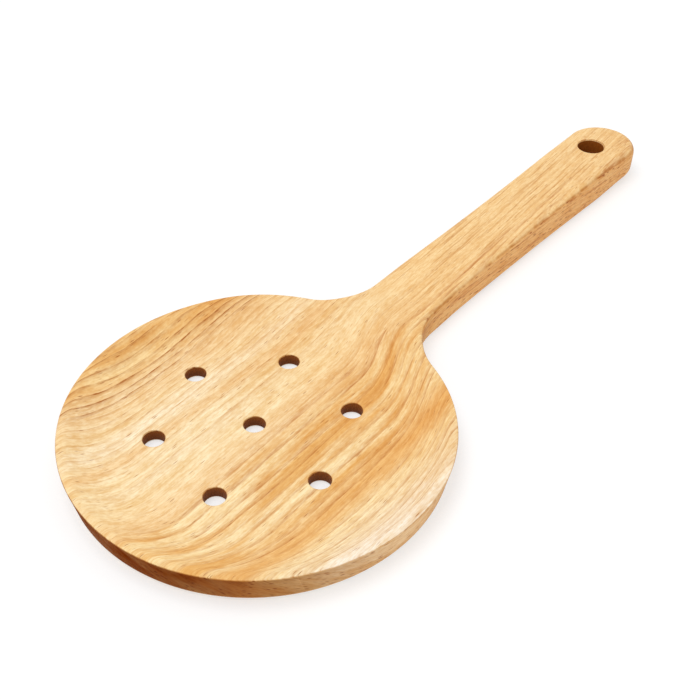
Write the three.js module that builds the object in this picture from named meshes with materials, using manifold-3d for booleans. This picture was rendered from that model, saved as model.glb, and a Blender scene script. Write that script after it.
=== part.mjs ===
// A wooden draining spatula: a round dished head with seven drain holes, and a flat handle to hang it by.
// It is shaped from a blank of four staves glued edge to edge along the handle.
// Millimetres, +Z up. The flat underside lies on z = 0, and +X runs from the head to the end of the handle.

import * as THREE from 'three';
import { mergeVertices } from 'three/addons/utils/BufferGeometryUtils.js';
import Module from 'manifold-3d';

const wasm = await Module();
wasm.setup();

// Outline
const overallLength = 300;
const headDiameter = 126;
const neckFilletRadius = 25.4;
const handleWaistWidth = 26.1;
const handleWaistFromEnd = 109;
const handleSideRadius = 2550;
const handleOffset = 3.9;
const handleOffsetStart = 20;
const handleOffsetLength = 80;

// Heights
const rimHeight = 11.4;
const floorThickness = 4.6;
const handleNeckThickness = 10.7;
const handleEndThickness = 14.9;

// Dish: a flat floor, a sweep up from it, and a blend into the rim and the neck
const floorDiameter = 80;
const dishSweepRadius = 34;
const dishSlope = THREE.MathUtils.degToRad(33);
const rimBlend = 0.8;
const neckBlend = 5;
const neckBlendStart = 32;
const neckBlendLength = 28;

// Neck: where the rim's height and edges pass over into the handle's, from the head's centre
const neckRampStart = 46;
const neckRampLength = 44;

// Edges
const rimEdgeRadius = 0.5;
const headUndersideRadius = 2.2;
const headWallLean = 1.6;
const handleEdgeRadius = 2.5;
const handleUndersideRadius = 2.5;

// The end of the handle is rounded over more, from this far before its tip
const endEdgeRadius = 3.6;
const endUndersideRadius = 5;
const endRoundingFromTip = 42;
const endRoundingLength = 30;

// Holes
const drainHoleDiameter = 7.2;
const drainHoleCount = 6;
const drainRingDiameter = 64.4;
const drainRingTurn = THREE.MathUtils.degToRad(22.3);
const drainRingOffset = new THREE.Vector2(1.3, 3.9);
const hangHoleDiameter = 11.4;
const hangHoleFromEnd = 21.7;
const hangHoleOffset = 1.2;

// Staves: the two edge staves at their widest, and the glue line between the two core staves
const leftEdgeStaveWidth = 19.4;
const rightEdgeStaveWidth = 12.6;
const coreGlueLine = -2.5;
const glueThickness = 0.1;

// Fineness of the surfaces
const headRibs = 42;
const filletRibs = 12;
const sideRibs = 14;
const endRibs = 12;
const edgeSteps = 3;
const sweepSteps = 9;
const landStep = 0.4;
const holeSides = 32;
const cutterMargin = 2;

const headRadius = headDiameter / 2;
const floorRadius = floorDiameter / 2;
const headCentre = headRadius - overallLength / 2;
const handleTip = overallLength - headRadius;

// Climb from 0 to 1 over a length, level at both ends
function climb(distance, start, length) {
  return THREE.MathUtils.smoothstep(distance, start, start + length);
}

// How far the wood lies to the left of the head's centre line: the handle's offset, reached towards the neck
function sideways(x) {
  return handleOffset * climb(x, handleOffsetStart, handleOffsetLength);
}

// The lower of two heights, rounded over where they cross
function blendedMin(a, b, blend) {
  const overlap = Math.max(blend - Math.abs(a - b), 0) / blend;
  return Math.min(a, b) - overlap * overlap * blend / 4;
}

// Height of the dish at a radius, carried on past the rim at its steepest slope
function dishHeight(radius) {
  const run = Math.max(radius - floorRadius, 0);
  const sweepRun = dishSweepRadius * Math.sin(dishSlope);
  const onSweep = Math.min(run, sweepRun);
  const sweep = dishSweepRadius - Math.sqrt(dishSweepRadius ** 2 - onSweep ** 2);
  return floorThickness + sweep + (run - onSweep) * Math.tan(dishSlope);
}

// Height of the blank before it is dished: level at the rim, then growing slowly along the handle
function blankHeight(x) {
  const along = THREE.MathUtils.clamp((x - neckRampStart) / (handleTip - neckRampStart), 0, 1);
  const handleHeight = THREE.MathUtils.lerp(handleNeckThickness, handleEndThickness, along);
  return THREE.MathUtils.lerp(rimHeight, handleHeight, climb(x, neckRampStart, neckRampLength));
}

// Height of the finished top, with x and y from the head's centre
function topHeight(x, y) {
  const blend = THREE.MathUtils.lerp(rimBlend, neckBlend, climb(x, neckBlendStart, neckBlendLength));
  return blendedMin(blankHeight(x), dishHeight(Math.hypot(x, y)), blend);
}

// Where the neck fillet's centre lies: it touches the head from outside and the handle's side from inside
function filletCentre(sideCentre) {
  const fromHead = headRadius + neckFilletRadius;
  const fromSide = handleSideRadius - neckFilletRadius;
  const distance = sideCentre.length();
  const along = (fromHead ** 2 - fromSide ** 2 + distance ** 2) / (2 * distance);
  const across = Math.sqrt(fromHead ** 2 - along ** 2);
  const toSide = sideCentre.clone().normalize();
  return new THREE.Vector2(
    along * toSide.x + across * toSide.y,
    along * toSide.y - across * toSide.x,
  );
}

// One half of the outline as four arcs, each with its centre, signed radius and outward normal's turn.
// A negative radius is a hollow arc, whose centre lies outside the wood.
function outlineArcs() {
  const waist = handleWaistWidth / 2;
  const endRadius = (waist ** 2 + 2 * waist * handleSideRadius + handleWaistFromEnd ** 2)
    / (2 * (handleSideRadius + handleWaistFromEnd));
  const sideCentre = new THREE.Vector2(handleTip - handleWaistFromEnd, waist + handleSideRadius);
  const endCentre = new THREE.Vector2(handleTip - endRadius, 0);
  const fillet = filletCentre(sideCentre);
  const filletStart = fillet.angle();
  const filletEnd = sideCentre.clone().sub(fillet).angle();
  const sideEnd = sideCentre.clone().sub(endCentre).angle();
  return [
    { centre: new THREE.Vector2(), radius: headRadius, from: Math.PI, to: filletStart, ribs: headRibs },
    { centre: fillet, radius: -neckFilletRadius, from: filletStart, to: filletEnd, ribs: filletRibs },
    { centre: sideCentre, radius: -handleSideRadius, from: filletEnd, to: sideEnd, ribs: sideRibs },
    { centre: endCentre, radius: endRadius, from: sideEnd, to: 0, ribs: endRibs },
  ];
}

// Ribs run square from the outline to the centre line: a point on the outline, a direction and a length
function outlineRibs() {
  const ribs = [];
  outlineArcs().forEach(({ centre, radius, from, to, ribs: count }, index) => {
    for (let step = index === 0 ? 0 : 1; step <= count; step += 1) {
      const turn = THREE.MathUtils.lerp(from, to, step / count);
      const outward = new THREE.Vector2(Math.cos(turn), Math.sin(turn));
      const point = centre.clone().addScaledVector(outward, radius);
      const length = radius > 0 ? radius : point.y / outward.y;
      ribs.push({ point, inward: outward.negate(), length });
    }
  });
  return ribs;
}

// Shares of a rib, from its rounded edge to the centre line, where the top is drawn: close on the sweep
function topShares() {
  const span = headRadius - rimEdgeRadius;
  const sweepSpan = headRadius - floorRadius;
  const steps = [landStep, ...Array.from({ length: sweepSteps }, (_, step) => step + 1)];
  return [...steps.map((step) => sweepSpan * step / sweepSteps / span), 1];
}

// The section along one rib, from the centre line underneath, round the edge, to the centre line on top
function ribSection({ point, inward, length }, shares) {
  const onHandle = climb(point.x, neckRampStart, neckRampLength);
  const atEnd = climb(point.x, handleTip - endRoundingFromTip, endRoundingLength);
  const sideEdge = THREE.MathUtils.lerp(rimEdgeRadius, handleEdgeRadius, onHandle);
  const edge = THREE.MathUtils.lerp(sideEdge, endEdgeRadius, atEnd);
  const sideFoot = THREE.MathUtils.lerp(headUndersideRadius, handleUndersideRadius, onHandle);
  const foot = THREE.MathUtils.lerp(sideFoot, endUndersideRadius, atEnd);
  const lean = THREE.MathUtils.lerp(headWallLean, 0, onHandle);
  const alongX = (inset) => point.x + inward.x * inset;
  const alongY = (inset) => (inset === length ? 0 : point.y + inward.y * inset);
  const top = (inset) => topHeight(alongX(inset), alongY(inset));
  const at = (inset, height) => new THREE.Vector3(alongX(inset), alongY(inset), height);
  const section = [at(length, 0)];
  for (let step = 0; step <= edgeSteps; step += 1) {
    const turn = Math.PI / 2 * (1 - step / edgeSteps);
    section.push(at(lean + foot * (1 - Math.cos(turn)), foot * (1 - Math.sin(turn))));
  }
  for (let step = 0; step <= edgeSteps; step += 1) {
    const turn = Math.PI / 2 * step / edgeSteps;
    section.push(at(edge * (1 - Math.cos(turn)), top(edge) - edge * (1 - Math.sin(turn))));
  }
  shares.forEach((share) => {
    const inset = share === 1 ? length : THREE.MathUtils.lerp(edge, length, share);
    section.push(at(inset, top(inset)));
  });
  return section;
}

// The rounded and dished blank, skinned over the sections of both halves
function blankGeometry() {
  const ribs = outlineRibs();
  const shares = topShares();
  const half = ribs.map((rib) => ribSection(rib, shares));
  const mirrored = half.slice(1, -1).reverse().map((section) => section.map(({ x, y, z }) => (
    new THREE.Vector3(x, -y, z)
  )));
  const sections = [...half, ...mirrored];
  const rows = sections[0].length;
  const points = sections.flat().map(({ x, y, z }) => new THREE.Vector3(x, y + sideways(x), z));
  const geometry = new THREE.BufferGeometry().setFromPoints(points);
  const index = [];
  sections.forEach((_, column) => {
    const here = column * rows;
    const next = (column + 1) % sections.length * rows;
    for (let row = 0; row < rows - 1; row += 1) {
      index.push(here + row, here + row + 1, next + row);
      index.push(next + row, here + row + 1, next + row + 1);
    }
  });
  geometry.setIndex(index);
  return geometry;
}

// A closed solid from a geometry, with shared vertices merged and empty triangles left out
function solid(geometry) {
  const bare = geometry.clone();
  bare.deleteAttribute('normal');
  bare.deleteAttribute('uv');
  const merged = mergeVertices(bare);
  const corners = merged.index.array;
  const triVerts = [];
  for (let first = 0; first < corners.length; first += 3) {
    const [a, b, c] = corners.slice(first, first + 3);
    if (a !== b && b !== c && c !== a) {
      triVerts.push(a, b, c);
    }
  }
  return new wasm.Manifold(new wasm.Mesh({
    numProp: 3,
    vertProperties: new Float32Array(merged.attributes.position.array),
    triVerts: new Uint32Array(triVerts),
  }));
}

// An upright drill through the whole thickness
function drill(diameter, x, y) {
  const depth = handleEndThickness + 2 * cutterMargin;
  const geometry = new THREE.CylinderGeometry(diameter / 2, diameter / 2, depth, holeSides);
  geometry.rotateX(Math.PI / 2);
  geometry.translate(x, y, depth / 2 - cutterMargin);
  return solid(geometry);
}

// Centres of the drain holes: one in the middle and a ring around it
function drainHoleCentres() {
  const centres = [drainRingOffset.clone()];
  for (let hole = 0; hole < drainHoleCount; hole += 1) {
    const turn = drainRingTurn + 2 * Math.PI * hole / drainHoleCount;
    const reach = new THREE.Vector2(Math.cos(turn), Math.sin(turn)).multiplyScalar(drainRingDiameter / 2);
    centres.push(reach.add(drainRingOffset));
  }
  return centres;
}

// The shaped blank with its holes, with x and y from the head's centre
function drilledBlank() {
  let blank = solid(blankGeometry());
  drainHoleCentres().forEach(({ x, y }) => {
    blank = blank.subtract(drill(drainHoleDiameter, x, y));
  });
  const hangHoleY = handleOffset + hangHoleOffset;
  return blank.subtract(drill(hangHoleDiameter, handleTip - hangHoleFromEnd, hangHoleY));
}

// The strip of the blank between two glue lines
function strip(blank, lowY, highY) {
  const height = handleEndThickness + 2 * cutterMargin;
  const geometry = new THREE.BoxGeometry(overallLength + 2 * cutterMargin, highY - lowY, height);
  geometry.translate(overallLength / 2 - headRadius, (lowY + highY) / 2, height / 2 - cutterMargin);
  return blank.intersect(solid(geometry));
}

function woodMesh(name, colour, body) {
  const { vertProperties, triVerts } = body.getMesh();
  const geometry = new THREE.BufferGeometry();
  geometry.setAttribute('position', new THREE.BufferAttribute(new Float32Array(vertProperties), 3));
  geometry.setIndex(new THREE.BufferAttribute(new Uint32Array(triVerts), 1));
  geometry.computeVertexNormals();
  const material = new THREE.MeshStandardMaterial({ color: colour, roughness: 0.55, metalness: 0 });
  const mesh = new THREE.Mesh(geometry, material);
  mesh.name = name;
  mesh.position.x = headCentre;
  return mesh;
}

// The four staves, from the right edge of the head to the left
function staves() {
  const outside = headRadius + cutterMargin;
  const glue = glueThickness / 2;
  const rightLine = rightEdgeStaveWidth - headRadius;
  const leftLine = headRadius - leftEdgeStaveWidth;
  return [
    { name: 'right_edge_stave', colour: 0xe6c08a, low: -outside, high: rightLine - glue },
    { name: 'right_core_stave', colour: 0xdca868, low: rightLine + glue, high: coreGlueLine - glue },
    { name: 'left_core_stave', colour: 0xe4b97c, low: coreGlueLine + glue, high: leftLine - glue },
    { name: 'left_edge_stave', colour: 0xd29b58, low: leftLine + glue, high: outside },
  ];
}

const spatula = new THREE.Group();
spatula.name = 'draining_spatula';
const blank = drilledBlank();
staves().forEach(({ name, colour, low, high }) => {
  spatula.add(woodMesh(name, colour, strip(blank, low, high)));
});

export default spatula;
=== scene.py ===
"""A wooden draining spatula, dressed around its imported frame.

The round dished head and the flat handle are one blank of four oiled rubberwood staves, glued edge
to edge. Each stave is skinned finely by the same rule as its solid, drilled by a node tree, and
finished with a timber whose growth rings run through its whole thickness. Sizes are in millimetres
from the head's centre, and the meshes are in metres.
"""

from __future__ import annotations

import logging
import math
from collections.abc import Iterable, Sequence
from dataclasses import dataclass, field
from enum import Enum

import bmesh
import bpy
import numpy as np
from bpy.types import Material, Node, NodeSocket, NodeTree, Object, World
from mathutils import Matrix, Vector


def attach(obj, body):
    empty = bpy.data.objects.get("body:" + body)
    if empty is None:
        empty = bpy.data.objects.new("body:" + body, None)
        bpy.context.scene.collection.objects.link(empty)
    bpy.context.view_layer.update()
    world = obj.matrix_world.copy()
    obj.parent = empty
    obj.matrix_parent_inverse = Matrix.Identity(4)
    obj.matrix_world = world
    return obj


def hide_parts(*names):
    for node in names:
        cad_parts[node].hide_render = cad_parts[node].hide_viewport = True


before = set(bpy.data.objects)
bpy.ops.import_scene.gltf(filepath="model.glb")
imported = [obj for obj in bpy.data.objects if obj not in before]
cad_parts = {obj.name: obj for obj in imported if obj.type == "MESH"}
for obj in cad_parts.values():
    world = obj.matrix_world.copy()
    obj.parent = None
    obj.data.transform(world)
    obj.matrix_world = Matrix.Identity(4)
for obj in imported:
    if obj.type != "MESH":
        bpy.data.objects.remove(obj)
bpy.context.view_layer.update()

Colour = tuple[float, float, float, float]

LOG = logging.getLogger("spatula")
METRES = 0.001
BODY = "root"
WHITE: Colour = (1.0, 1.0, 1.0, 1.0)
SMOOTH = {"interpolation_type": "SMOOTHSTEP"}


class Stave(Enum):
    """The four staves of the blank, by the CAD node that each one stands for."""

    RIGHT_EDGE = "right_edge_stave"
    RIGHT_CORE = "right_core_stave"
    LEFT_CORE = "left_core_stave"
    LEFT_EDGE = "left_edge_stave"

    @property
    def slot(self) -> str:
        """The record's material slot of this stave."""
        return self.value.replace("_stave", "_wood")


class Blend(Enum):
    """How a tone is laid over the one below it."""

    COVER = "MIX"
    STAIN = "MULTIPLY"


def linear(code: str) -> Colour:
    """Turns an sRGB hex colour to linear.

    Args:
        code: six hex digits
    Returns:
        red, green, blue and alpha for a colour socket
    """
    shares = [int(code[at:at + 2], 16) / 255 for at in (0, 2, 4)]
    red, green, blue = (s / 12.92 if s <= 0.04045 else ((s + 0.055) / 1.055) ** 2.4 for s in shares)
    return red, green, blue, 1.0


def empty_tree(owner: Material | World) -> NodeTree:
    """Gives a material or a world a node tree with nothing in it.

    Args:
        owner: the material or the world
    Returns:
        its tree
    """
    owner.use_nodes = True
    owner.node_tree.nodes.clear()
    return owner.node_tree


@dataclass
class NodeNet:
    """A shader or geometry tree that is being built."""

    tree: NodeTree

    def add(
        self, kind: str, inputs: dict[str | int, object] | Sequence[object] = (),
        operation: str = "", **settings: object,
    ) -> Node:
        """Adds a node with its settings, and links or sets its inputs.

        Args:
            kind: the node's type; ShaderNode is left out in front
            inputs: the inputs by name or number, or the first ones in order; each is a plain value,
                a socket, or a node whose first output feeds it
            operation: what a node that calculates or cuts does
            settings: the node's other properties
        Returns:
            the new node
        """
        node = self.tree.nodes.new(kind if "Node" in kind else f"ShaderNode{kind}")
        if operation:
            node.operation = operation
        for name, value in settings.items():
            setattr(node, name, value)
        for key, value in inputs.items() if isinstance(inputs, dict) else enumerate(inputs):
            target = node.inputs[key] if isinstance(key, int) else next(
                socket for socket in node.inputs if socket.name == key and socket.enabled
            )
            if isinstance(value, Node):
                value = next(socket for socket in value.outputs if socket.enabled)
            if isinstance(value, NodeSocket):
                self.tree.links.new(value, target)
            else:
                target.default_value = value
        return node


@dataclass(frozen=True)
class Timber:
    """One stave's cut of oiled rubberwood, planed and sanded.

    Attributes:
        name: name of the material
        pale: tone of the wood between the bands
        warm: tone of the warmer bands
        ring: tone of a growth ring's late wood
        ring_width: distance between growth rings where they stand upright
        ring_strength: how far a growth ring takes the wood to its own tone
        evenness: how alike the years are, from 0 to 1
        pore_share: share of the pores that are open
        warm_share: share of the wood that is of the warmer tone
        soft_share: how much of a ring's tone builds up softly over the year, before its thin line
        lean: how far the grain leans in the log, as a share of the height climbed
        sway: how far the grain sways from a straight line, in millimetres
        grain_turn: how far the grain turns from the handle's line, in degrees
        seed: slides every pattern, so that no two boards are alike
        tones: for each line across the head with a tone of its own, its place, that tone, and how
            far it reaches; at a glue line the next stave has the same tone
    """

    name: str
    pale: str
    warm: str
    ring: str
    ring_width: float
    ring_strength: float
    evenness: float
    pore_share: float
    warm_share: float
    soft_share: float
    lean: float
    sway: float
    grain_turn: float
    seed: float
    tones: tuple[tuple[float, str, float], ...]

    @property
    def year_drift(self) -> float:
        """How many years the good and bad seasons shift a ring by."""
        return 1 - 0.7 * self.evenness

    @property
    def least_vigour(self) -> float:
        """Strength of the faintest ring."""
        return 0.4 + 0.45 * self.evenness

    @property
    def band_middle(self) -> float:
        """Noise level where the pale wood turns to the warmer tone."""
        return 0.76 - 0.5 * self.warm_share

    def material(self) -> Material:
        """Builds the timber's material.

        Returns:
            the material
        """
        material = bpy.data.materials.new(self.name)
        WoodNet(empty_tree(material), self).surface()
        return material


@dataclass
class WoodNet(NodeNet):
    """The tree of a timber's material, with patterns that run through the wood's whole thickness.

    Rubberwood is pale straw with soft growth rings a few millimetres apart, long open pores that
    show as short dark flecks, and end grain that drinks more oil and turns reddish brown. The oil
    leaves a satin sheen.
    """

    timber: Timber
    place: Node = field(init=False)
    grain: Node = field(init=False)

    PORE = "a3541a"
    END_GRAIN = "86532a"
    CUT = "a8653a"
    # Upright faces take up more oil than the planed top, those of the head most; their rings are
    # fainter, and a thin band on the rounding of the top edge is darker still
    HEAD_SIDE = "fae0bc"
    HANDLE_SIDE = "ffebd4"
    SIDE_RINGS = 0.45
    ARRIS = "d9bd9c"
    # Towards the neck the wood lies nearer to the heart and is warmer, and along the handle it is
    # alike in all staves
    NECK = "fbf1e2"
    FAR_END = "fef8ec"
    HANDLE = "f7cf92"
    HANDLE_SHARE = 0.82
    HANDLE_RINGS = 0.9
    # Vessels that run together show as hairlines, most on the handle
    HEAD_HAIRLINES = 0.16
    HANDLE_HAIRLINES = 0.6
    # A dark streak takes away more blue than red, and a light streak gives more
    STREAK_DARK = (0.91, 0.80, 0.66, 1.0)
    STREAK_LIGHT = (1.06, 1.13, 1.24, 1.0)
    # Where the log's heart lies: across from the head's centre line, and below the surface
    HEART = (6.0, 15.0)
    # The grain of the left half leans the other way where it runs into the neck
    NECK_LEAN = -0.5
    # Lengths along and across the grain of each pattern, in millimetres. Real pores are about
    # 0.2 mm wide and fibres 0.03 mm, too fine to show, so they are drawn coarser
    SWAY = (75.0, 18.0)
    RAG = (9.0, 1.6)
    BREAK = (9.0, 1.3)
    BAND = (60.0, 6.5)
    PATCH = (8.0, 3.0)
    FIBRE = (22.0, 0.5)
    FLECK = (2.0, 0.7)
    PORE_CELL = (5.5, 0.6)
    HAIRLINE = (24.0, 1.0)
    CUT_PORE = (4.0, 1.2)
    BLOTCH = 5.0
    # The fibres stand on edge, so most patterns change more slowly upwards than across
    RISE_SHARE = 0.3
    HAIRLINE_RISE = 0.8
    CUT_PORE_RISE = 1.0
    SEED_SHARES = (1.0, 1.7, 0.6)
    # How far streaks go from the wood's own tone
    PATCH_DEPTH = 0.17
    FIBRE_DEPTH = 0.16
    FLECK_DEPTH = 0.2
    # How far a ring's edge is ragged, how fast the seasons change, and the shape of a ring
    RAGGED = 0.9
    SEASON_RATE = 0.45
    SOFT_POWER = 1.6
    THIN_POWER = 10.0
    THIN_SHARE = 0.7
    MOST_VIGOUR = 1.25
    # Half of the noise range over which the pale wood turns warm
    BAND_BLUR = 0.08
    # Pores crowd in bands, and in late wood
    CROWD_SCALE = 1.7
    CROWDING = 1.2
    CROWD_BASE = 0.4
    LATE_PORES = -0.5
    # The normal's height on the darker band of the edge rounding, and how squarely a face has to
    # cut the fibres
    EDGE_UP = 0.58
    LEVEL_LOSS = -0.8
    SQUARE_POWER = 1.3
    SQUARE_GAIN = 1.18
    # Depth of the relief, of the pores in it, and how much of it shows
    RELIEF = 0.08
    PORE_RELIEF = -0.5
    RELIEF_STRENGTH = 0.4
    IOR = 1.48
    # Ranges: from, to, and where given the values at both ends
    LEAN_ALONG = (10.0, 60.0)
    LEAN_ACROSS = (-10.0, 22.0)
    NECK_ALONG = (-12.0, 40.0)
    END_ALONG = (-62.0, -34.0, 1.0, 0.0)
    HANDLE_ALONG = (55.0, 95.0)
    RING_END = (0.9, 1.0, 1.0, 0.0)
    GAPS = (0.32, 0.68, 0.1, 1.6)
    CALM = (-62.0, -30.0, 0.45, 1.0)
    PORE_MOUTH = (0.08, 0.3, 1.0, 0.0)
    PORE_DEPTH = (0.0, 1.0, 0.15, 0.85)
    CUT_MOUTH = (0.12, 0.4, 1.0, 0.0)
    HAIRLINE_EDGE = (0.34, 0.44, 1.0, 0.0)
    SIDE_LEVEL = (0.35, 0.75, 1.0, 0.0)
    EDGE_WIDTH = (0.06, 0.26, 1.0, 0.0)
    SHADES = (0.3, 0.7)
    STREAKS = (0.75, 1.25)
    EDGE_BREAKUP = (0.9, 1.1, 1.0, 0.25)
    SOAKED = (0.3, 0.65, 1.0, 0.88)
    SHEEN = (0.9, 1.1, 0.6, 0.46)
    GLOSS = (0.0, 1.0, 0.12, 0.0)

    def __post_init__(self) -> None:
        """Lays out the place on the blank, and the grain that the patterns follow."""
        self.place = self.add("Mapping", {
            "Vector": self.add("TexCoord").outputs["Object"],
            "Location": (-Blank.head_centre_x, 0.0, 0.0),
            "Scale": (1 / METRES,) * 3,
        })
        self.grain = self.leaning_grain()

    def leaning_grain(self) -> Node:
        """Lays out the grain, which leans in the log, so its lines swing where the surface climbs.

        Returns:
            the node that gives millimetres along the grain, across it, and up
        """
        turn = math.radians(self.timber.grain_turn)
        turned = self.add("Mapping", {"Vector": self.place, "Rotation": (0.0, 0.0, turn)})
        along, across, up = self.add("SeparateXYZ", [turned]).outputs
        near_neck = self.add("MapRange", [along, *self.LEAN_ALONG], **SMOOTH)
        on_left = self.add("MapRange", [across, *self.LEAN_ACROSS], **SMOOTH)
        swing = self.add("Math", [near_neck, on_left], "MULTIPLY")
        lean = self.add("MapRange", [swing, 0.0, 1.0, self.timber.lean, self.NECK_LEAN])
        climb = self.add("Math", [up, Blank.floor_thickness], "SUBTRACT")
        shift = self.add("Math", [climb, lean], "MULTIPLY")
        line = self.add("Math", [across, shift], "SUBTRACT")
        return self.add("CombineXYZ", [along, line, up])

    def pattern(
        self, size: tuple[float, float], kind: str = "TexNoise", rise: float = RISE_SHARE,
        **looks: float,
    ) -> Node:
        """Draws a pattern that is stretched along the grain.

        Args:
            size: its lengths along and across the grain, in millimetres
            kind: the texture node's type
            rise: how fast it changes upwards, as a share of how fast it changes across
            looks: the texture's other inputs
        Returns:
            the texture node
        """
        along, across = size
        spot = self.add("Mapping", {
            "Vector": self.grain,
            "Location": tuple(self.timber.seed * share for share in self.SEED_SHARES),
            "Scale": (1 / along, 1 / across, rise / across),
        })
        return self.add(kind, {"Vector": spot, "Scale": 1.0, **looks})

    def growth_rings(self) -> Node:
        """Draws the late wood of the growth rings, each ring with its own strength.

        Returns:
            the node that gives how far a point lies in late wood, from 0 to 1
        """
        timber = self.timber
        along, line, _ = self.add("SeparateXYZ", [self.grain]).outputs
        for noise, reach in ((self.pattern(self.SWAY), timber.sway),
                             (self.pattern(self.RAG), self.RAGGED)):
            line = self.add("Math", [noise, reach, line], "MULTIPLY_ADD")
        middle = self.HEART[0] + (timber.sway + self.RAGGED) / 2
        across = self.add("Math", [line, middle], "SUBTRACT")
        from_heart = self.add("CombineXYZ", [0.0, across, self.HEART[1]])
        radius = self.add("VectorMath", [from_heart], "LENGTH").outputs["Value"]
        age = self.add("Math", [radius, timber.ring_width], "DIVIDE")
        season = self.add("TexNoise", {
            "W": age, "Scale": self.SEASON_RATE, "Detail": 0.0,
        }, noise_dimensions="1D")
        uneven = self.add("Math", [season, timber.year_drift, age], "MULTIPLY_ADD")
        year = self.add("Math", [uneven], "FLOOR")
        own_year = self.add("Math", [year, round(timber.seed)], "ADD")
        vigour = self.add("TexWhiteNoise", {"W": own_year}, noise_dimensions="1D").outputs["Value"]
        growth = self.add("Math", [uneven], "FRACT")
        soft = self.add("Math", [growth, self.SOFT_POWER], "POWER")
        thin = self.add("Math", [growth, self.THIN_POWER], "POWER")
        faint = self.add("Math", [soft, timber.soft_share], "MULTIPLY")
        late = self.add("Math", [thin, self.THIN_SHARE, faint], "MULTIPLY_ADD")
        gaps = self.pattern(self.BREAK, Detail=3.0, Roughness=0.65)
        for factor in (
            self.add("MapRange", [growth, *self.RING_END], **SMOOTH),
            self.add("MapRange", [vigour, 0.0, 1.0, timber.least_vigour, self.MOST_VIGOUR]),
            self.add("MapRange", [gaps, *self.GAPS]),
            self.add("MapRange", [along, *self.CALM]),
        ):
            late = self.add("Math", [late, factor], "MULTIPLY")
        return late

    def open_pores(self, rings: Node) -> Node:
        """Draws the open pores: long cells along the grain, of which only some are open.

        Args:
            rings: the node that gives how far a point lies in late wood, where more are open
        Returns:
            the node that gives how far a point lies in a pore, from 0 to 1
        """
        cells = self.pattern(self.PORE_CELL, "TexVoronoi")
        mouth = self.add("MapRange", [cells, *self.PORE_MOUTH], **SMOOTH)
        draw, depth, _ = self.add("SeparateColor", [cells.outputs["Color"]]).outputs
        crowd = self.pattern(self.BAND, Scale=self.CROWD_SCALE)
        base = self.CROWD_BASE - self.timber.pore_share
        spread = self.add("Math", [crowd, self.CROWDING, base], "MULTIPLY_ADD")
        closed = self.add("Math", [rings, self.LATE_PORES, spread], "MULTIPLY_ADD")
        is_open = self.add("Math", [draw, closed], "GREATER_THAN")
        open_mouth = self.add("Math", [mouth, is_open], "MULTIPLY")
        own = self.add("MapRange", [depth, *self.PORE_DEPTH])
        return self.add("Math", [open_mouth, own], "MULTIPLY")

    def cut_pores(self) -> Node:
        """Draws the mouths of the pores that an upright side cuts open.

        Returns:
            the node that gives how far a point lies in such a mouth, from 0 to 1
        """
        cells = self.pattern(self.CUT_PORE, "TexVoronoi", rise=self.CUT_PORE_RISE)
        mouth = self.add("MapRange", [cells, *self.CUT_MOUTH], **SMOOTH)
        draw = self.add("SeparateColor", [cells.outputs["Color"]]).outputs[0]
        return self.add("Math", [mouth, draw], "MULTIPLY")

    def hairlines(self) -> Node:
        """Draws the hairlines: long dark streaks where vessels run together."""
        noise = self.pattern(self.HAIRLINE, rise=self.HAIRLINE_RISE)
        return self.add("MapRange", [noise, *self.HAIRLINE_EDGE], **SMOOTH)

    def shade(self, size: tuple[float, float], depth: float) -> Node:
        """Draws light and dark streaks along the grain.

        Args:
            size: lengths of a streak along and across the grain, in millimetres
            depth: how far the streaks lie below and above the wood's own tone
        Returns:
            the node that gives the share of the tone, about 1
        """
        noise = self.pattern(size, Detail=3.0, Roughness=0.6)
        return self.add("MapRange", [noise, *self.SHADES, 1 - depth, 1 + depth])

    def facing(self) -> tuple[Node, Node, Node]:
        """Tells apart the ways that the surface faces.

        Returns:
            the nodes that give 1 on an upright side, on a thin band of the edge rounding just above
            it, and on end grain, where an upright face cuts the fibres squarely
        """
        normal = self.add("NewGeometry").outputs["Normal"]
        along, _, up = self.add("SeparateXYZ", [normal]).outputs
        level = self.add("Math", [up], "ABSOLUTE")
        side = self.add("MapRange", [level, *self.SIDE_LEVEL], **SMOOTH)
        from_edge = self.add("Math", [up, self.EDGE_UP], "SUBTRACT")
        off_edge = self.add("Math", [from_edge], "ABSOLUTE")
        edge_band = self.add("MapRange", [off_edge, *self.EDGE_WIDTH], **SMOOTH)
        square = self.add("Math", [along], "ABSOLUTE")
        upright = self.add("Math", [level, self.LEVEL_LOSS, square], "MULTIPLY_ADD")
        cut = self.add("Math", [upright, 0.0], "MAXIMUM")
        squareness = self.add("Math", [cut, self.SQUARE_POWER], "POWER")
        end = self.add("Math", [squareness, self.SQUARE_GAIN], "MULTIPLY", use_clamp=True)
        return side, edge_band, end

    def own_tones(self, across: NodeSocket) -> list[tuple[Node, str, Blend]]:
        """Finds how near a point lies to each line that has a tone of its own.

        Args:
            across: the socket that gives millimetres from the head's centre line
        Returns:
            the layers of these tones
        """
        layers = []
        for line, tone, reach in self.timber.tones:
            aside = self.add("Math", [across, line], "SUBTRACT")
            distance = self.add("Math", [aside], "ABSOLUTE")
            nearness = self.add("MapRange", [distance, 0.0, reach, 1.0, 0.0], **SMOOTH)
            layers.append((nearness, tone, Blend.COVER))
        return layers

    def laid(
        self, below: Node | Colour, layers: Iterable[tuple[Node, str | Colour | Node, Blend]]
    ) -> Node:
        """Lays tones over a colour, one after the other.

        Args:
            below: the colour, or the node that gives it
            layers: for each tone, its share, the tone or the node that gives it, and how it is laid
        Returns:
            the node that gives the colour on top
        """
        for share, tone, blend in layers:
            below = self.add("Mix", {
                "Factor": share, "A": below, "B": linear(tone) if isinstance(tone, str) else tone,
            }, data_type="RGBA", blend_type=blend.value)
        return below

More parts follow.
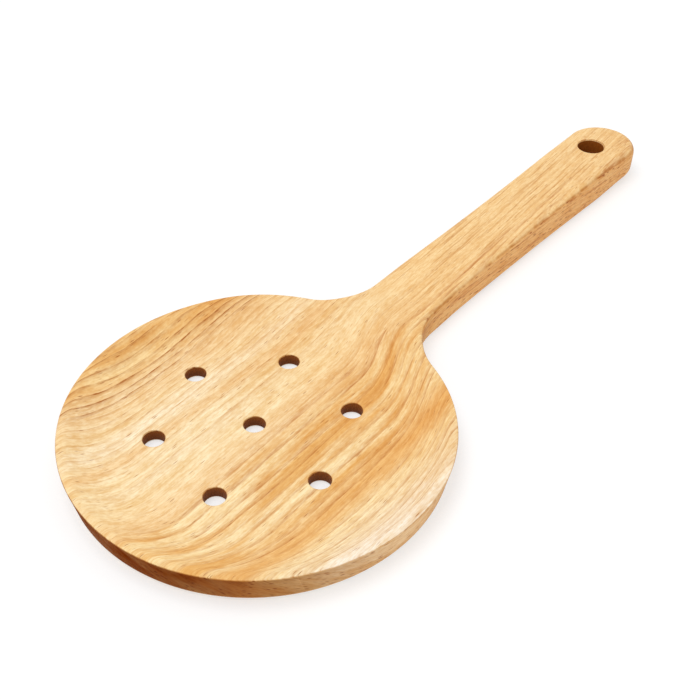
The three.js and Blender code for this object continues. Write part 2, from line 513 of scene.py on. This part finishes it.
    def surface(self) -> None:
        """Builds the surface, from the bands in the wood to the oil on it."""
        timber = self.timber
        along, across, _ = self.add("SeparateXYZ", [self.place]).outputs
        at_neck, at_end, on_handle = (
            self.add("MapRange", [along, *span], **SMOOTH)
            for span in (self.NECK_ALONG, self.END_ALONG, self.HANDLE_ALONG)
        )
        handle_share = self.add("Math", [on_handle, self.HANDLE_SHARE], "MULTIPLY")
        side, edge_band, end = self.facing()
        band = self.pattern(self.BAND, Detail=4.0, Roughness=0.6)
        blur, middle = self.BAND_BLUR, timber.band_middle
        warmth = self.add("MapRange", [band, middle - blur, middle + blur])

        rings = self.growth_rings()
        on_top = timber.ring_strength
        strength = self.add("MapRange", [side, 0.0, 1.0, on_top, on_top * self.SIDE_RINGS])
        fading = self.add("MapRange", [on_handle, 0.0, 1.0, 1.0, self.HANDLE_RINGS])
        faded = self.add("Math", [strength, fading], "MULTIPLY")
        ring_share = self.add("Math", [rings, faded], "MULTIPLY", use_clamp=True)
        ringed = self.laid(linear(timber.pale), [
            (warmth, timber.warm, Blend.COVER),
            *self.own_tones(across),
            (at_neck, self.NECK, Blend.STAIN),
            (at_end, self.FAR_END, Blend.STAIN),
            (handle_share, self.HANDLE, Blend.COVER),
            (ring_share, timber.ring, Blend.COVER),
        ])

        patch = self.shade(self.PATCH, self.PATCH_DEPTH)
        fibre = self.shade(self.FIBRE, self.FIBRE_DEPTH)
        streak = patch
        for finer in (fibre, self.shade(self.FLECK, self.FLECK_DEPTH)):
            streak = self.add("Math", [streak, finer], "MULTIPLY")
        lightness = self.add("MapRange", [streak, *self.STREAKS])
        tint = self.laid(self.STREAK_DARK, [(lightness, self.STREAK_LIGHT, Blend.COVER)])
        streaked = self.add("VectorMath", [ringed, tint], "MULTIPLY")

        hair_ends = self.HEAD_HAIRLINES, self.HANDLE_HAIRLINES
        hair_strength = self.add("MapRange", [on_handle, 0.0, 1.0, *hair_ends])
        hair_share = self.add("Math", [self.hairlines(), hair_strength], "MULTIPLY")
        pores = self.open_pores(rings)
        side_tint = self.laid(linear(self.HEAD_SIDE), [(on_handle, self.HANDLE_SIDE, Blend.COVER)])
        # A thin band on the rounding of the top edge is darker, broken up along the grain
        edge_breakup = self.add("MapRange", [patch, *self.EDGE_BREAKUP])
        edge_band_share = self.add("Math", [edge_band, edge_breakup], "MULTIPLY")
        blotch = self.add("TexNoise", {
            "Vector": self.grain, "Scale": 1 / self.BLOTCH, "Detail": 3.0,
        })
        soaked = self.add("MapRange", [blotch, *self.SOAKED])
        end_share = self.add("Math", [end, soaked], "MULTIPLY")
        dot_share = self.add("Math", [self.cut_pores(), side], "MULTIPLY")
        oiled = self.laid(streaked, [
            (hair_share, timber.ring, Blend.COVER),
            (pores, self.PORE, Blend.COVER),
            (side, side_tint, Blend.STAIN),
            (edge_band_share, self.ARRIS, Blend.STAIN),
            (end_share, self.END_GRAIN, Blend.STAIN),
            (dot_share, self.CUT, Blend.STAIN),
        ])

        relief = self.add("Math", [pores, self.PORE_RELIEF, fibre], "MULTIPLY_ADD")
        shader = self.add("BsdfPrincipled", {
            "Base Color": oiled,
            "Roughness": self.add("MapRange", [fibre, *self.SHEEN]),
            "IOR": self.IOR,
            "Specular IOR Level": self.add("MapRange", [end_share, *self.GLOSS]),
            "Normal": self.add("Bump", {
                "Height": relief, "Strength": self.RELIEF_STRENGTH,
                "Distance": self.RELIEF * METRES,
            }),
        })
        self.add("OutputMaterial", {"Surface": shader})


TIMBERS: dict[Stave, Timber] = {
    Stave.RIGHT_EDGE: Timber(
        "oiled_rubberwood_right_edge", pale="fdeed5", warm="f6ddb5", ring="d3a066",
        ring_width=3.4, ring_strength=0.8, evenness=0.0,
        pore_share=0.26, warm_share=0.4, soft_share=0.5,
        lean=1.0, sway=4.5, grain_turn=-2.0, seed=23.9,
        tones=((-50.4, "f8dfb2", 6.0),),
    ),
    Stave.RIGHT_CORE: Timber(
        "oiled_rubberwood_right_core", pale="fbe1ad", warm="ecb971", ring="c27a3a",
        ring_width=3.4, ring_strength=0.9, evenness=0.0,
        pore_share=0.28, warm_share=0.5, soft_share=0.55,
        lean=1.0, sway=4.5, grain_turn=-2.0, seed=23.9,
        tones=((-38.5, "eebb75", 8.0), (-50.4, "f8dfb2", 5.5), (-2.5, "f7d6a2", 7.0)),
    ),
    Stave.LEFT_CORE: Timber(
        "oiled_rubberwood_left_core", pale="fce5b8", warm="f4d39b", ring="cf9250",
        ring_width=2.2, ring_strength=0.8, evenness=0.9,
        pore_share=0.28, warm_share=0.42, soft_share=0.35,
        lean=0.6, sway=3.0, grain_turn=-2.5, seed=37.7,
        tones=(
            (-2.5, "f7d6a2", 11.0), (43.6, "f7d7a4", 11.0), (30.0, "fce7c0", 6.0),
            (23.0, "f5d29d", 4.0), (11.0, "fbe4b8", 5.0),
        ),
    ),
    Stave.LEFT_EDGE: Timber(
        "oiled_rubberwood_left_edge", pale="f8d598", warm="efbd76", ring="b06728",
        ring_width=2.2, ring_strength=1.35, evenness=0.9,
        pore_share=0.6, warm_share=0.5, soft_share=0.35,
        lean=0.4, sway=3.0, grain_turn=-2.5, seed=37.7,
        tones=((43.6, "f7d7a4", 10.0),),
    ),
}


@dataclass(frozen=True)
class Bore:
    """The wall of a drilled hole in rubberwood, with rings of the cutting edge. Its dark tones are
    partly burnished wood and partly painted shade of the hole, and painted shade darkens it
    further towards the bottom.

    Real rings are finer than these and would not show.
    """

    name: str = "drilled_rubberwood"
    # Both tones are dark partly as burnished wood and partly as painted shade of the hole
    light: str = "a85c16"
    dark: str = "6c360a"
    ring_pitch: float = 0.35
    # Painted shade: how high it reaches up the wall from the bottom, and how dark it is there
    shade_height: float = 4.0
    depth_shade: float = 0.8

    WAVE_LENGTH = math.tau / 20
    RELIEF = 0.05

    def material(self) -> Material:
        """Builds the material of the hole's wall.

        Returns:
            the material, made once
        """
        if self.name in bpy.data.materials:
            return bpy.data.materials[self.name]
        material = bpy.data.materials.new(self.name)
        net = NodeNet(empty_tree(material))
        place = net.add("TexCoord").outputs["Object"]
        scaled = net.add("VectorMath", {0: place, "Scale": 1 / METRES}, "SCALE")
        scuff = net.add("TexNoise", {"Vector": scaled, "Scale": 1.2, "Detail": 3.0})
        rings = net.add("TexWave", {
            "Vector": scaled, "Scale": self.WAVE_LENGTH / self.ring_pitch,
            "Distortion": 1.5, "Detail": 1.0,
        }, bands_direction="Z").outputs["Fac"]
        mark = net.add("Math", [scuff, rings], "MULTIPLY")
        height = net.add("SeparateXYZ", [scaled]).outputs["Z"]
        # Painted shade: the wall turns darker towards the bottom of the hole, added to the tool
        # marks
        depth_shade = net.add("MapRange", [height, 0.0, self.shade_height, self.depth_shade, 0.0])
        marks_and_shade = net.add("Math", [mark, depth_shade], "ADD", use_clamp=True)
        tone = net.add("Mix", {
            "Factor": marks_and_shade, "A": linear(self.light), "B": linear(self.dark),
        }, data_type="RGBA")
        bump = net.add("Bump", {
            "Height": rings, "Strength": 0.3, "Distance": self.RELIEF * METRES,
        })
        shader = net.add("BsdfPrincipled", {
            "Base Color": tone, "Roughness": 0.6, "Specular IOR Level": 0.2, "Normal": bump,
        })
        net.add("OutputMaterial", {"Surface": shader})
        return material


def smoothstep(value: np.ndarray | float, start: float, length: float) -> np.ndarray:
    """Climbs from 0 to 1 over a length, level at both ends.

    Args:
        value: distances
        start: where the climb starts
        length: how long it is
    Returns:
        the climb at each distance
    """
    share = np.clip((np.asarray(value, dtype=float) - start) / length, 0.0, 1.0)
    return share * share * (3.0 - 2.0 * share)


def mixed(
    low: np.ndarray | float, high: np.ndarray | float, share: np.ndarray | float
) -> np.ndarray:
    """Goes from one value to another by a share."""
    return low + (np.asarray(high) - low) * share


@dataclass
class Blank:
    """The rounded and dished blank, skinned over ribs from its outline to its centre line."""

    overall_length: float = 300.0
    head_diameter: float = 126.0
    neck_fillet_radius: float = 25.4
    handle_waist_width: float = 26.1
    handle_waist_from_end: float = 109.0
    handle_side_radius: float = 2550.0
    handle_offset: float = 3.9
    handle_offset_start: float = 20.0
    handle_offset_length: float = 80.0
    rim_height: float = 11.4
    floor_thickness: float = 4.6
    handle_neck_thickness: float = 10.7
    handle_end_thickness: float = 14.9
    floor_diameter: float = 80.0
    dish_sweep_radius: float = 34.0
    dish_slope: float = math.radians(33.0)
    rim_blend: float = 0.8
    neck_blend: float = 5.0
    neck_blend_start: float = 32.0
    neck_blend_length: float = 28.0
    neck_ramp_start: float = 46.0
    neck_ramp_length: float = 44.0
    rim_edge_radius: float = 0.5
    head_underside_radius: float = 2.2
    head_wall_lean: float = 1.6
    handle_edge_radius: float = 2.5
    handle_underside_radius: float = 2.5
    end_edge_radius: float = 3.6
    end_underside_radius: float = 5.0
    end_rounding_from_tip: float = 42.0
    end_rounding_length: float = 30.0
    ribs_by_arc: tuple[int, int, int, int] = (170, 44, 60, 44)
    edge_steps: int = 8
    sweep_steps: int = 36
    middle_steps: int = 8

    head_centre_x = head_diameter / 2 - overall_length / 2

    # Points nearer than this, in metres, are one
    WELD = 1e-7

    @property
    def head_radius(self) -> float:
        """Half of the head's diameter."""
        return self.head_diameter / 2

    @property
    def handle_tip(self) -> float:
        """How far the end of the handle lies from the head's centre."""
        return self.overall_length - self.head_radius

    def dish_height(self, radius: np.ndarray) -> np.ndarray:
        """Gives the height of the dish, carried on past the rim at its steepest slope.

        Args:
            radius: distances from the head's centre
        Returns:
            the heights
        """
        run = np.maximum(radius - self.floor_diameter / 2, 0.0)
        on_sweep = np.minimum(run, self.dish_sweep_radius * math.sin(self.dish_slope))
        sweep = self.dish_sweep_radius - np.sqrt(self.dish_sweep_radius ** 2 - on_sweep ** 2)
        return self.floor_thickness + sweep + (run - on_sweep) * math.tan(self.dish_slope)

    def blank_height(self, x: np.ndarray) -> np.ndarray:
        """Gives the height before dishing: level at the rim, then growing along the handle.

        Args:
            x: distances along the handle
        Returns:
            the heights
        """
        length = self.handle_tip - self.neck_ramp_start
        along = np.clip((x - self.neck_ramp_start) / length, 0.0, 1.0)
        handle = mixed(self.handle_neck_thickness, self.handle_end_thickness, along)
        ramp = smoothstep(x, self.neck_ramp_start, self.neck_ramp_length)
        return mixed(self.rim_height, handle, ramp)

    def top_height(self, x: np.ndarray, y: np.ndarray) -> np.ndarray:
        """Gives the height of the top: the lower of blank and dish, rounded where they cross.

        Args:
            x: distances along the handle
            y: distances across it
        Returns:
            the heights
        """
        climb = smoothstep(x, self.neck_blend_start, self.neck_blend_length)
        blend = mixed(self.rim_blend, self.neck_blend, climb)
        blank = self.blank_height(x)
        dish = self.dish_height(np.hypot(x, y))
        overlap = np.maximum(blend - np.abs(blank - dish), 0.0) / blend
        return np.minimum(blank, dish) - overlap ** 2 * blend / 4

    def outline_arcs(self) -> list[tuple[complex, float, float, float]]:
        """Lays out one half of the outline as four arcs; a hollow arc has a negative radius.

        Returns:
            centre, radius and the turns of the outward normal at both ends, for each arc
        """
        waist = self.handle_waist_width / 2
        side = self.handle_side_radius
        reach = self.handle_waist_from_end
        end_radius = (waist ** 2 + 2 * waist * side + reach ** 2) / (2 * (side + reach))
        side_centre = complex(self.handle_tip - reach, waist + side)
        end_centre = complex(self.handle_tip - end_radius, 0.0)
        from_head = self.head_radius + self.neck_fillet_radius
        from_side = side - self.neck_fillet_radius
        distance = abs(side_centre)
        along = (from_head ** 2 - from_side ** 2 + distance ** 2) / (2 * distance)
        across = math.sqrt(from_head ** 2 - along ** 2)
        fillet = complex(along, -across) * side_centre / distance
        normals = (fillet, side_centre - fillet, side_centre - end_centre)
        turns = [math.pi, *(math.atan2(normal.imag, normal.real) for normal in normals), 0.0]
        centres = (0j, fillet, side_centre, end_centre)
        radii = (self.head_radius, -self.neck_fillet_radius, -side, end_radius)
        return list(zip(centres, radii, turns, turns[1:]))

    def outline_ribs(self) -> tuple[np.ndarray, np.ndarray, np.ndarray]:
        """Sets out the ribs of one half.

        Returns:
            points on the outline, inward directions and lengths
        """
        points, inwards, lengths = [], [], []
        for (centre, radius, start, end), count in zip(self.outline_arcs(), self.ribs_by_arc):
            first = 1 if points else 0
            for turn in np.linspace(start, end, count + 1)[first:]:
                outward = complex(math.cos(turn), math.sin(turn))
                point = centre + radius * outward
                points.append((point.real, point.imag))
                inwards.append((-outward.real, -outward.imag))
                lengths.append(radius if radius > 0 else point.imag / outward.imag)
        return np.array(points), np.array(inwards), np.array(lengths)

    def sections(self) -> np.ndarray:
        """Draws the section along each rib, from underneath, round the edge, to the top.

        Returns:
            an array of points, by rib and by step along the section
        """
        points, inwards, lengths = self.outline_ribs()
        on_handle = smoothstep(points[:, 0], self.neck_ramp_start, self.neck_ramp_length)
        end_start = self.handle_tip - self.end_rounding_from_tip
        at_end = smoothstep(points[:, 0], end_start, self.end_rounding_length)
        side_edge = mixed(self.rim_edge_radius, self.handle_edge_radius, on_handle)
        edge = mixed(side_edge, self.end_edge_radius, at_end)
        side_foot = mixed(self.head_underside_radius, self.handle_underside_radius, on_handle)
        foot = mixed(side_foot, self.end_underside_radius, at_end)
        lean = mixed(self.head_wall_lean, 0.0, on_handle)
        rows: list[tuple[np.ndarray, np.ndarray]] = [(lengths, np.zeros_like(lengths))]

        def top(inset: np.ndarray) -> np.ndarray:
            """Gives the finished height at an inset along each rib."""
            return self.top_height(*(points + inwards * inset[:, None]).T)

        for turn in np.linspace(math.pi / 2, 0.0, self.edge_steps + 1):
            rows.append((lean + foot * (1 - math.cos(turn)), foot * (1 - math.sin(turn))))
        for turn in np.linspace(0.0, math.pi / 2, self.edge_steps + 1):
            rows.append((edge * (1 - math.cos(turn)), top(edge) - edge * (1 - math.sin(turn))))
        sweep = self.head_radius - self.floor_diameter / 2
        sweep_share = sweep / (self.head_radius - self.rim_edge_radius)
        shares = np.concatenate([
            np.linspace(0.0, sweep_share, self.sweep_steps + 1)[1:],
            np.linspace(sweep_share, 1.0, self.middle_steps + 1)[1:],
        ])
        for share in shares:
            inset = mixed(edge, lengths, share)
            rows.append((inset, top(inset)))
        inset = np.stack([row[0] for row in rows], axis=1)
        height = np.stack([row[1] for row in rows], axis=1)
        flat = points[:, None, :] + inwards[:, None, :] * inset[:, :, None]
        flat[:, [0, -1], 1] = 0.0
        return np.concatenate([flat, height[:, :, None]], axis=2)

    def skin(self) -> bmesh.types.BMesh:
        """Skins the sections of both halves into one closed solid.

        Returns:
            the solid, in metres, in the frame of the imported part
        """
        half = self.sections()
        mirrored = half[-2:0:-1] * np.array([1.0, -1.0, 1.0])
        whole = np.concatenate([half, mirrored])
        reached = smoothstep(whole[..., 0], self.handle_offset_start, self.handle_offset_length)
        whole[..., 1] += self.handle_offset * reached
        whole[..., 0] += self.head_centre_x
        body = bmesh.new()
        grid = [
            [body.verts.new(point) for point in section] for section in (whole * METRES).tolist()
        ]
        for here, following in zip(grid, grid[1:] + grid[:1]):
            for row in range(len(here) - 1):
                body.faces.new((here[row], here[row + 1], following[row + 1], following[row]))
        bmesh.ops.remove_doubles(body, verts=body.verts, dist=self.WELD)
        bmesh.ops.dissolve_degenerate(body, edges=body.edges, dist=self.WELD)
        bmesh.ops.recalc_face_normals(body, faces=body.faces)
        return body


@dataclass
class Drilling:
    """A set of holes with eased edges: one in the middle, and a ring around it."""

    hole_diameter: float
    thickness: float
    middle: tuple[float, float]
    ring_diameter: float = 0.0
    ring_count: int = 0
    ring_turn: float = 0.0
    ease: float = 0.5

    TREE_NAME = "drilled_holes"
    BORE = "bore"
    HOLE_SIDES = 72
    WALL_STEPS = 60
    SOCKETS = {
        "Wood": "Geometry", "Hole Radius": "Float", "Thickness": "Float", "Ease": "Float",
        "Middle": "Vector", "Ring Radius": "Float", "Ring Count": "Int", "Ring Turn": "Float",
        "Timber": "Material", "Bore": "Material",
    }

    @classmethod
    def tree(cls) -> NodeTree:
        """Builds the tree that drills the holes, once.

        Returns:
            the tree, with a named input for each size
        """
        if cls.TREE_NAME in bpy.data.node_groups:
            return bpy.data.node_groups[cls.TREE_NAME]
        tree = bpy.data.node_groups.new(cls.TREE_NAME, "GeometryNodeTree")
        for name, kind in cls.SOCKETS.items():
            tree.interface.new_socket(name, in_out="INPUT", socket_type=f"NodeSocket{kind}")
        tree.interface.new_socket(
            "Drilled Wood", in_out="OUTPUT", socket_type="NodeSocketGeometry"
        )
        net = NodeNet(tree)
        given = net.add("NodeGroupInput").outputs
        ease, radius = given["Ease"], given["Hole Radius"]

        # The drill: a cylinder that flares by a quarter round where it leaves the wood
        depth = net.add("Math", [ease, 2.0, given["Thickness"]], "MULTIPLY_ADD")
        rod = net.add("GeometryNodeMeshCylinder", {
            "Vertices": cls.HOLE_SIDES, "Side Segments": cls.WALL_STEPS, "Radius": radius,
            "Depth": depth,
        }, fill_type="NGON")
        place = net.add("GeometryNodeInputPosition")
        height = net.add("SeparateXYZ", [place]).outputs["Z"]
        from_middle = net.add("Math", [height], "ABSOLUTE")
        half = net.add("Math", [given["Thickness"], 2.0], "DIVIDE")
        flare_start = net.add("Math", [half, ease], "SUBTRACT")
        flare = net.add("MapRange", [from_middle, flare_start, half])
        square = net.add("Math", [flare, flare], "MULTIPLY")
        rest = net.add("Math", [1.0, square], "SUBTRACT")
        root = net.add("Math", [rest], "SQRT")
        widening = net.add("Math", [1.0, root], "SUBTRACT")
        relative = net.add("Math", [ease, radius], "DIVIDE")
        scale = net.add("Math", [widening, relative], "MULTIPLY")
        outward = net.add("VectorMath", [place, (1.0, 1.0, 0.0)], "MULTIPLY")
        offset = net.add("VectorMath", {0: outward, "Scale": scale}, "SCALE")
        flared = net.add("GeometryNodeSetPosition", {"Geometry": rod, "Offset": offset})
        is_bore = net.add("Math", [from_middle, flare_start], "LESS_THAN")
        drill = net.add("GeometryNodeStoreNamedAttribute", {
            "Geometry": flared, "Name": cls.BORE, "Value": is_bore,
        }, data_type="BOOLEAN", domain="FACE")

        # The places: the first point in the middle, the others around the ring
        count = net.add("Math", [given["Ring Count"], 1.0], "ADD")
        number = net.add("GeometryNodeInputIndex")
        in_ring = net.add("Math", [number, 0.5], "GREATER_THAN")
        reach = net.add("Math", [in_ring, given["Ring Radius"]], "MULTIPLY")
        step = net.add("Math", [math.tau, given["Ring Count"]], "DIVIDE")
        before = net.add("Math", [number, 1.0], "SUBTRACT")
        turn = net.add("Math", [before, step, given["Ring Turn"]], "MULTIPLY_ADD")
        across = net.add("Math", [turn], "COSINE")
        up = net.add("Math", [turn], "SINE")
        spoke = net.add("CombineXYZ", [across, up])
        arm = net.add("VectorMath", {0: spoke, "Scale": reach}, "SCALE")
        spot = net.add("VectorMath", [arm, given["Middle"]], "ADD")
        points = net.add("GeometryNodePoints", {"Count": count, "Position": spot})
        drills = net.add("GeometryNodeInstanceOnPoints", {"Points": points, "Instance": drill})

        drilled = net.add("GeometryNodeMeshBoolean", {
            "Mesh 1": given["Wood"], "Mesh 2": drills,
        }, "DIFFERENCE", solver="MANIFOLD")
        realized = net.add("GeometryNodeRealizeInstances", {"Geometry": drilled})
        bored = net.add("GeometryNodeInputNamedAttribute", {"Name": cls.BORE}, data_type="BOOLEAN")
        dressed = net.add("GeometryNodeSetMaterial", {
            "Geometry": realized, "Material": given["Timber"],
        })
        finished = net.add("GeometryNodeSetMaterial", {
            "Geometry": dressed, "Selection": bored, "Material": given["Bore"],
        })
        net.add("NodeGroupOutput", [finished])
        return tree

    def apply(self, wood: Object, timber: Material) -> None:
        """Drills the holes through a piece of wood and leaves a plain mesh.

        Args:
            wood: the piece
            timber: the material that the piece and its holes are dressed in
        """
        tree = self.tree()
        sizes = {
            "Hole Radius": self.hole_diameter / 2 * METRES,
            "Thickness": self.thickness * METRES,
            "Ease": self.ease * METRES,
            "Middle": Vector((*self.middle, self.thickness / 2)) * METRES,
            "Ring Radius": self.ring_diameter / 2 * METRES,
            "Ring Count": self.ring_count,
            "Ring Turn": self.ring_turn,
            "Timber": timber,
            "Bore": Bore().material(),
        }
        modifier = wood.modifiers.new("holes", "NODES")
        modifier.node_group = tree
        for item in tree.interface.items_tree:
            if item.name in sizes:
                modifier[item.identifier] = sizes[item.name]
        evaluated = wood.evaluated_get(bpy.context.evaluated_depsgraph_get())
        blank_mesh = wood.data
        drilled = bpy.data.meshes.new_from_object(evaluated)
        wood.modifiers.remove(modifier)
        wood.data = drilled
        bpy.data.meshes.remove(blank_mesh)


@dataclass
class Spatula:
    """The four staves, cut from the finished blank along its glue lines and drilled."""

    blank: Blank = field(default_factory=Blank)
    left_glue_line: float = 43.6
    core_glue_line: float = -2.5
    right_glue_line: float = -50.4
    joint_gap: float = 0.02
    sharp_from: float = math.radians(30.0)
    drain_holes: Drilling = field(default_factory=lambda: Drilling(
        hole_diameter=7.2, thickness=4.6, middle=(Blank.head_centre_x + 1.3, 3.9),
        ring_diameter=64.4, ring_count=6, ring_turn=math.radians(22.3),
    ))
    hang_hole: Drilling = field(default_factory=lambda: Drilling(
        hole_diameter=11.4, thickness=14.42, middle=(Blank.overall_length / 2 - 21.7, 5.1),
    ))

    # How far the outer cuts stay clear of the wood, and how near a cut, in metres, takes a point
    CLEAR = 1.0
    CUT = 1e-8

    def spans(self) -> dict[Stave, tuple[float, float]]:
        """Gives the two sides that each stave lies between.

        Returns:
            the lower and the higher side of each stave, across the handle's line
        """
        outside = self.blank.head_radius + self.CLEAR
        inner = (self.right_glue_line, self.core_glue_line, self.left_glue_line)
        lines = (-outside, *inner, outside)
        gap = self.joint_gap / 2
        return {stave: (low + gap, high - gap) for stave, low, high in zip(Stave, lines, lines[1:])}

    def strip(self, body: bmesh.types.BMesh, low: float, high: float) -> bmesh.types.BMesh:
        """Cuts the strip between two glue lines out of the blank and closes its sides.

        Args:
            body: the whole blank
            low: the lower side
            high: the higher side
        Returns:
            the strip
        """
        strip = body.copy()
        for side, direction in ((low, -1.0), (high, 1.0)):
            cut = bmesh.ops.bisect_plane(
                strip, geom=[*strip.verts, *strip.edges, *strip.faces], dist=self.CUT,
                plane_co=(0.0, side * METRES, 0.0), plane_no=(0.0, direction, 0.0),
                clear_outer=True,
            )
            edges = [item for item in cut["geom_cut"] if isinstance(item, bmesh.types.BMEdge)]
            if edges:
                bmesh.ops.edgenet_fill(strip, edges=edges)
        bmesh.ops.recalc_face_normals(strip, faces=strip.faces)
        return strip

    def build(self) -> list[Object]:
        """Makes, drills and dresses the staves.

        Returns:
            the staves' objects
        """
        body = self.blank.skin()
        pieces = []
        for stave, (low, high) in self.spans().items():
            strip = self.strip(body, low, high)
            mesh = bpy.data.meshes.new(f"{stave.value}_wood")
            strip.to_mesh(mesh)
            strip.free()
            piece = bpy.data.objects.new(f"{stave.value}_wood", mesh)
            bpy.context.scene.collection.objects.link(piece)
            timber = TIMBERS[stave].material()
            self.drain_holes.apply(piece, timber)
            self.hang_hole.apply(piece, timber)
            piece.data.shade_smooth()
            piece.data.set_sharp_from_angle(angle=self.sharp_from)
            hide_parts(stave.value)
            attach(piece, BODY)
            pieces.append(piece)
        body.free()
        return pieces


@dataclass
class Studio:
    """A white table under a large soft lamp, seen from the head's near side."""

    frame_pixels: float = 700.0
    focal_pixels: float = 1025.7
    azimuth: float = math.radians(-133.88)
    elevation: float = math.radians(45.70)
    distance: float = 333.7
    aim_right: float = math.radians(5.265)
    aim_up: float = math.radians(4.775)
    roll: float = math.radians(-3.81)
    table_size: float = 6.0
    table_drop: float = 0.2
    table_glow: float = 0.58
    table_tone: float = 0.46
    table_bounce: float = 0.9
    sky_strength: float = 0.70
    lamp_place: tuple[float, float, float] = (-0.28, 0.18, 1.3)
    lamp_size: float = 0.8
    lamp_power: float = 6.9

    SENSOR = 36.0
    CLIP_START = 0.01

    def white_to_eye(self, net: NodeNet) -> Node:
        """Picks out the rays that see the table or the sky themselves, and not by its light.

        Args:
            net: a material's or the world's tree
        Returns:
            the node that gives 1 for such a ray
        """
        path = net.add("LightPath").outputs
        direct = [path["Is Camera Ray"], path["Is Glossy Ray"]]
        seen = net.add("Math", direct, "MAXIMUM")
        return net.add("Math", [seen, path["Is Transmission Ray"]], "MAXIMUM")

    def table(self) -> Object:
        """Lays the white table, which keeps the shadow of the object.

        Returns:
            the table
        """
        half = self.table_size / 2
        drop = -self.table_drop * METRES
        mesh = bpy.data.meshes.new("table")
        corners = [(x * half, y * half, drop) for x, y in ((-1, -1), (1, -1), (1, 1), (-1, 1))]
        mesh.from_pydata(corners, [], [(0, 1, 2, 3)])
        table = bpy.data.objects.new("table", mesh)
        bpy.context.scene.collection.objects.link(table)
        # Matt paper scatters all light and has no sheen
        material = bpy.data.materials.new("matt_white_paper")
        net = NodeNet(empty_tree(material))
        lit, shaded = (
            net.add("BsdfDiffuse", {"Color": (tone, tone, tone, 1.0)})
            for tone in (self.table_bounce, self.table_tone)
        )
        glow = net.add("Emission", {"Strength": self.table_glow})
        white = net.add("AddShader", [shaded, glow])
        seen = net.add("MixShader", [self.white_to_eye(net), lit, white])
        net.add("OutputMaterial", {"Surface": seen})
        mesh.materials.append(material)
        return table

    def light(self) -> None:
        """Hangs the soft lamp and sets the sky around it."""
        lamp = bpy.data.lights.new("softbox", "AREA")
        lamp.shape = "DISK"
        lamp.size = self.lamp_size
        lamp.energy = self.lamp_power
        holder = bpy.data.objects.new("softbox", lamp)
        place = Vector(self.lamp_place)
        turn = place.to_track_quat("Z", "Y").to_matrix()
        holder.matrix_world = Matrix.Translation(place) @ turn.to_4x4()
        bpy.context.scene.collection.objects.link(holder)
        world = bpy.data.worlds.new("studio")
        net = NodeNet(empty_tree(world))
        sky, backdrop = (
            net.add("Background", {"Color": WHITE, "Strength": strength})
            for strength in (self.sky_strength, 1.0)
        )
        seen = net.add("MixShader", [self.white_to_eye(net), sky, backdrop])
        net.add("OutputWorld", {"Surface": seen})
        bpy.context.scene.world = world

    def camera(self) -> Object:
        """Sets the camera at the photograph's place.

        Returns:
            the camera
        """
        back = Vector((
            math.cos(self.azimuth) * math.cos(self.elevation),
            math.sin(self.azimuth) * math.cos(self.elevation),
            math.sin(self.elevation),
        ))
        place = (back * self.distance + Vector((Blank.head_centre_x, 0.0, 0.0))) * METRES
        turn = back.to_track_quat("Z", "Y").to_matrix()
        for angle, axis in ((-self.aim_right, "Y"), (self.aim_up, "X"), (self.roll, "Z")):
            turn = turn @ Matrix.Rotation(angle, 3, axis)
        data = bpy.data.cameras.new("camera")
        data.sensor_width = self.SENSOR
        data.lens = self.focal_pixels / self.frame_pixels * self.SENSOR
        data.clip_start = self.CLIP_START
        camera = bpy.data.objects.new("camera", data)
        camera.matrix_world = Matrix.Translation(place) @ turn.to_4x4()
        bpy.context.scene.collection.objects.link(camera)
        bpy.context.scene.camera = camera
        return camera

    def build(self) -> None:
        """Sets up the table, the light, the camera and the plain view."""
        self.camera()
        self.table()
        self.light()
        bpy.context.scene.view_settings.view_transform = "Standard"


def main() -> None:
    """Builds the studio and the spatula."""
    logging.basicConfig(level=logging.INFO, format="%(name)s: %(message)s")
    Studio().build()
    for piece in Spatula().build():
        LOG.info("%s: %d faces", piece.name, len(piece.data.polygons))


if __name__ == "__main__":
    main()
